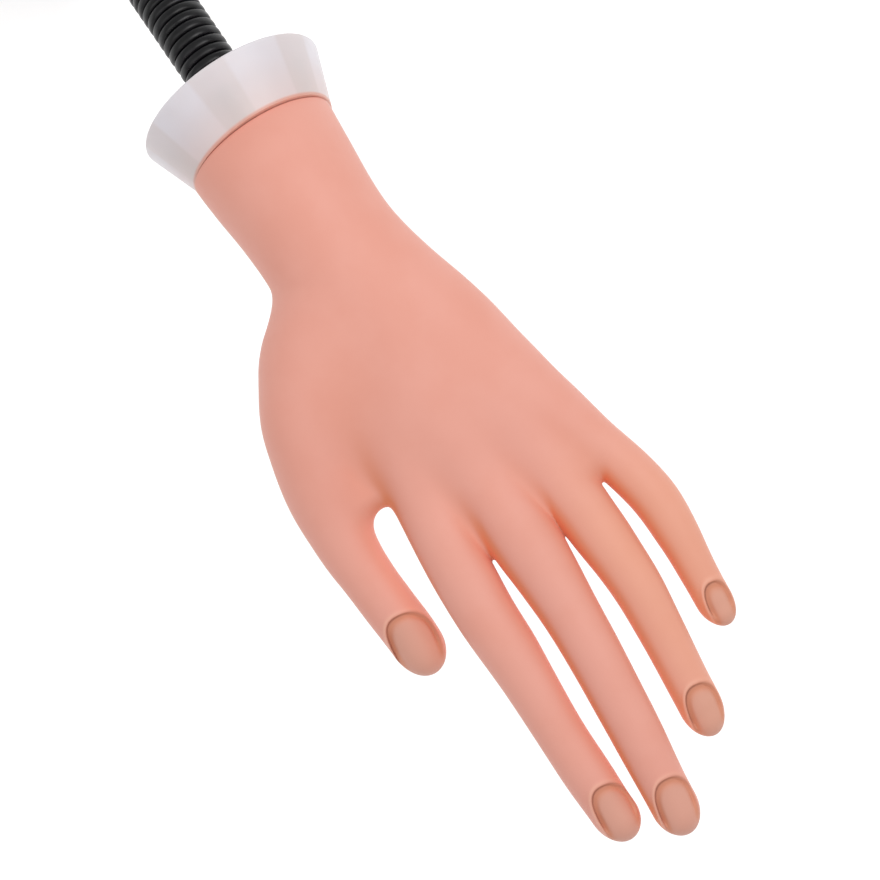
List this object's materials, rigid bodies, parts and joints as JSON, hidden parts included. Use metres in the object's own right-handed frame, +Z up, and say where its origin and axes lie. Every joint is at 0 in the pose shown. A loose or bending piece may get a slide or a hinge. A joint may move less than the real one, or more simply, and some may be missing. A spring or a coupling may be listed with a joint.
{
  "type": "nail practice hand",
  "caption": "Soft left practice hand with bendable jointed fingers and empty nail beds, on a wrist plug, a flexible corrugated neck and a screw clamp for a table edge.",
  "frame": {"origin": "centre of the clamp's upper jaw on the table top", "axes": "+Z up out of the table, +X from the clamp towards the fingertips, +Y towards the little finger of the palm-down left hand"},
  "size_m": [0.3547, 0.0918, 0.2957],
  "materials": {
    "painted_frame": "black powder coat",
    "rubber_pad": "matte",
    "steel": "bright zinc",
    "cap_plastic": "matte",
    "hose": "satin",
    "neck_core": "satin",
    "plug": "milky, slightly translucent",
    "plastic_frame": "moulded nylon",
    "flesh": "soft matte vinyl skin"
  },
  "bodies": {
    "clamp": {"clamp_frame": "painted_frame", "jaw_pad": "rubber_pad", "neck_base_ferrule": "painted_frame", "neck_hose_1": "hose", "neck_core_1": "neck_core"},
    "pad": {"swivel_pad": "steel"},
    "screw": {"clamp_screw": "steel"},
    "handle": {"tommy_bar": "steel", "tommy_bar_caps": "cap_plastic"},
    "neck_2": {"neck_hose_2": "hose", "neck_core_2": "neck_core"},
    "neck_3": {"neck_hose_3": "hose", "neck_core_3": "neck_core"},
    "neck_4": {"neck_hose_4": "hose", "neck_core_4": "neck_core"},
    "neck_5": {"neck_hose_5": "hose", "neck_core_5": "neck_core", "neck_top_bush": "neck_core", "wrist_plug": "plug"},
    "hand": {"palm_frame": "plastic_frame", "palm_flesh": "flesh", "wrist_post": "steel", "post_set_screws": "steel", "post_clip": "steel", "knuckle_pins": "steel"},
    "index_proximal": {"index_proximal_link": "plastic_frame", "index_proximal_flesh": "flesh"},
    "index_middle": {"index_middle_link": "plastic_frame", "index_middle_flesh": "flesh", "index_pins": "steel"},
    "index_tip": {"index_tip_link": "plastic_frame", "index_tip_flesh": "flesh"},
    "middle_proximal": {"middle_proximal_link": "plastic_frame", "middle_proximal_flesh": "flesh"},
    "middle_middle": {"middle_middle_link": "plastic_frame", "middle_middle_flesh": "flesh", "middle_pins": "steel"},
    "middle_tip": {"middle_tip_link": "plastic_frame", "middle_tip_flesh": "flesh"},
    "ring_proximal": {"ring_proximal_link": "plastic_frame", "ring_proximal_flesh": "flesh"},
    "ring_middle": {"ring_middle_link": "plastic_frame", "ring_middle_flesh": "flesh", "ring_pins": "steel"},
    "ring_tip": {"ring_tip_link": "plastic_frame", "ring_tip_flesh": "flesh"},
    "little_proximal": {"little_proximal_link": "plastic_frame", "little_proximal_flesh": "flesh"},
    "little_middle": {"little_middle_link": "plastic_frame", "little_middle_flesh": "flesh", "little_pins": "steel"},
    "little_tip": {"little_tip_link": "plastic_frame", "little_tip_flesh": "flesh"},
    "thumb_proximal": {"thumb_proximal_link": "plastic_frame", "thumb_proximal_flesh": "flesh", "thumb_pins": "steel"},
    "thumb_tip": {"thumb_tip_link": "plastic_frame", "thumb_tip_flesh": "flesh"}
  },
  "joints": [
    {"name": "pad_travel", "type": "slide", "parent": "clamp", "child": "pad", "axis": [0, 0, 1], "range_m": [-0.01, 0.024]},
    {"name": "screw_turn", "type": "hinge", "parent": "pad", "child": "screw", "pos_m": [0, 0, -0.06], "axis": [0, 0, 1], "range_deg": [-2401, 5761]},
    {"name": "handle_slide", "type": "slide", "parent": "screw", "child": "handle", "axis": [0, 1, 0], "range_m": [-0.016, 0.016]},
    {"name": "neck_pitch_1", "type": "hinge", "parent": "clamp", "child": "neck_2", "pos_m": [0, 0, 0.066], "axis": [0, 1, 0], "range_deg": [-25, 25]},
    {"name": "neck_sway_1", "type": "hinge", "parent": "neck_2", "child": "neck_3", "pos_m": [0.01022, 0, 0.09843], "axis": [0.8969, 0, -0.4423], "range_deg": [-25, 25]},
    {"name": "neck_pitch_2", "type": "hinge", "parent": "neck_3", "child": "neck_4", "pos_m": [0.02973, 0, 0.12628], "axis": [0, 1, 0], "range_deg": [-25, 25]},
    {"name": "neck_sway_2", "type": "hinge", "parent": "neck_4", "child": "neck_5", "pos_m": [0.0567, 0, 0.14698], "axis": [0.481, 0, -0.8767], "range_deg": [-25, 25]},
    {"name": "wrist_swivel", "type": "hinge", "parent": "neck_5", "child": "hand", "pos_m": [0.10274, 0, 0.16373], "axis": [0.9397, 0, 0.342], "continuous": true},
    {"name": "index_knuckle_bend", "type": "hinge", "parent": "hand", "child": "index_proximal", "pos_m": [0.2408, -0.02166, 0.17773], "axis": [0.0262, 0.9997, 0], "range_deg": [-10, 50]},
    {"name": "index_middle_bend", "type": "hinge", "parent": "index_proximal", "child": "index_middle", "pos_m": [0.25979, -0.02215, 0.1774], "axis": [0.0262, 0.9997, 0], "range_deg": [0, 60]},
    {"name": "index_tip_bend", "type": "hinge", "parent": "index_middle", "child": "index_tip", "pos_m": [0.28817, -0.0229, 0.17492], "axis": [0.0262, 0.9997, 0], "range_deg": [0, 45]},
    {"name": "middle_knuckle_bend", "type": "hinge", "parent": "hand", "child": "middle_proximal", "pos_m": [0.24282, -0.00213, 0.17873], "axis": [0.0976, 0.9952, 0], "range_deg": [-10, 50]},
    {"name": "middle_middle_bend", "type": "hinge", "parent": "middle_proximal", "child": "middle_middle", "pos_m": [0.26472, -0.00428, 0.17873], "axis": [0.0976, 0.9952, 0], "range_deg": [0, 60]},
    {"name": "middle_tip_bend", "type": "hinge", "parent": "middle_middle", "child": "middle_tip", "pos_m": [0.29446, -0.0072, 0.17612], "axis": [0.0976, 0.9952, 0], "range_deg": [0, 45]},
    {"name": "ring_knuckle_bend", "type": "hinge", "parent": "hand", "child": "ring_proximal", "pos_m": [0.24228, 0.01612, 0.17773], "axis": [0.0767, 0.9971, 0], "range_deg": [-10, 50]},
    {"name": "ring_middle_bend", "type": "hinge", "parent": "ring_proximal", "child": "ring_middle", "pos_m": [0.25773, 0.01493, 0.17746], "axis": [0.0767, 0.9971, 0], "range_deg": [0, 60]},
    {"name": "ring_tip_bend", "type": "hinge", "parent": "ring_middle", "child": "ring_tip", "pos_m": [0.28004, 0.01321, 0.17511], "axis": [0.0767, 0.9971, 0], "range_deg": [0, 45]},
    {"name": "little_knuckle_bend", "type": "hinge", "parent": "hand", "child": "little_proximal", "pos_m": [0.23665, 0.03284, 0.17523], "axis": [0.0523, 0.9986, 0], "range_deg": [-10, 50]},
    {"name": "little_middle_bend", "type": "hinge", "parent": "little_proximal", "child": "little_middle", "pos_m": [0.24912, 0.03218, 0.1748], "axis": [0.0523, 0.9986, 0], "range_deg": [0, 55]},
    {"name": "little_tip_bend", "type": "hinge", "parent": "little_middle", "child": "little_tip", "pos_m": [0.26154, 0.03153, 0.17349], "axis": [0.0523, 0.9986, 0], "range_deg": [0, 45]},
    {"name": "thumb_root_bend", "type": "hinge", "parent": "hand", "child": "thumb_proximal", "pos_m": [0.20867, -0.0424, 0.16973], "axis": [0, 1, 0], "range_deg": [-10, 35]},
    {"name": "thumb_tip_bend", "type": "hinge", "parent": "thumb_proximal", "child": "thumb_tip", "pos_m": [0.22214, -0.0424, 0.16879], "axis": [0, 1, 0], "range_deg": [0, 45]}
  ],
  "couplings": [
    {"joint": "screw_turn", "follows": "pad_travel", "rad_per_m": 4188.8}
  ]
}
